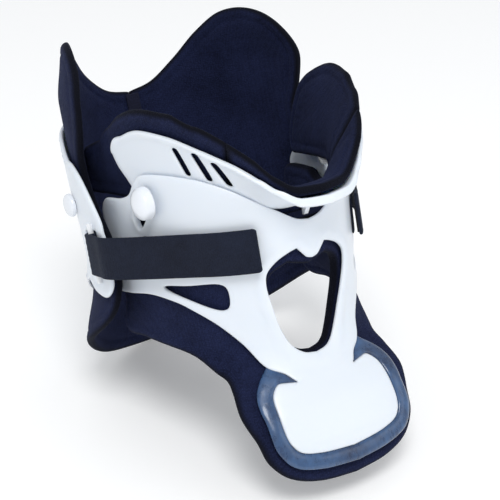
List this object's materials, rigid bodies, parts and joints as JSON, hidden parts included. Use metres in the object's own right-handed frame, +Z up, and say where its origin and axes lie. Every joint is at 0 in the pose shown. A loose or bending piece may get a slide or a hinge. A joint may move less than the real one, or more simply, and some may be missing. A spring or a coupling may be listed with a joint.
{
  "type": "cervical collar",
  "caption": "Rigid two-part neck collar: front half with throat opening, chest plate and tilting chin support, padded back half with head lobes, side straps.",
  "frame": {"origin": "on the ground under the middle of the collar's bounding box", "axes": "+Z up, the collar's front (chin and chest plate) faces -Y, the wearer's left is +X; the neck axis leans back 17 degrees as the collar stands"},
  "size_m": [0.1622, 0.2423, 0.2011],
  "materials": {
    "white_shell": "satin white injection-moulded polyethylene",
    "soft_edge": "glossy translucent blue overmoulded elastomer",
    "pad_fabric": "navy knit-faced foam laminate",
    "binding": "dark woven seam tape",
    "strap_web": "charcoal loop-faced strap",
    "hook_tape": "black moulded hook tape",
    "loop_tape": "dark loop pile tape",
    "rivet_white": "polished white plastic rivet",
    "washer_plastic": "natural acetal snap washer",
    "bar_plastic": "white plastic pin"
  },
  "bodies": {
    "back_half": {"back_shell": "white_shell", "back_pad_left": "pad_fabric", "back_pad_right": "pad_fabric", "back_seam_tape": "binding", "back_hook_dots": "hook_tape", "back_button_left": "rivet_white", "back_button_right": "rivet_white", "strap_bar_left": "bar_plastic", "strap_bar_right": "bar_plastic"},
    "front_half": {"front_shell": "white_shell", "chest_soft_edge": "soft_edge", "front_pad": "pad_fabric", "front_hook_dots": "hook_tape", "chin_rivet_left": "rivet_white", "chin_rivet_right": "rivet_white", "rivet_washer_left": "washer_plastic", "rivet_washer_right": "washer_plastic", "loop_patch_left": "loop_tape", "loop_patch_right": "loop_tape"},
    "chin": {"chin_support": "white_shell", "chin_pad": "pad_fabric", "jaw_pad_left": "pad_fabric", "jaw_pad_right": "pad_fabric"},
    "strap_left_body": {"strap_left": "strap_web", "strap_hook_left": "hook_tape"},
    "strap_right_body": {"strap_right": "strap_web", "strap_hook_right": "hook_tape"}
  },
  "joints": [
    {"name": "front_release", "type": "slide", "parent": "back_half", "child": "front_half", "axis": [0, -0.9563, 0.2924], "range_m": [0, 0.08]},
    {"name": "chin_tilt", "type": "hinge", "parent": "front_half", "child": "chin", "pos_m": [0, -0.01313, 0.14422], "axis": [-1, 0, 0], "range_deg": [0, 8]},
    {"name": "strap_left_peel", "type": "hinge", "parent": "back_half", "child": "strap_left_body", "pos_m": [0.07705, 0.0179, 0.10546], "axis": [0, 0.2924, 0.9563], "range_deg": [0, 101]},
    {"name": "strap_right_peel", "type": "hinge", "parent": "back_half", "child": "strap_right_body", "pos_m": [-0.07705, 0.0179, 0.10546], "axis": [0, -0.2924, -0.9563], "range_deg": [0, 101]}
  ],
  "couplings": [
    {"joint": "strap_left_peel", "follows": "front_release", "rad_per_m": 21.817},
    {"joint": "strap_right_peel", "follows": "front_release", "rad_per_m": 21.817}
  ]
}
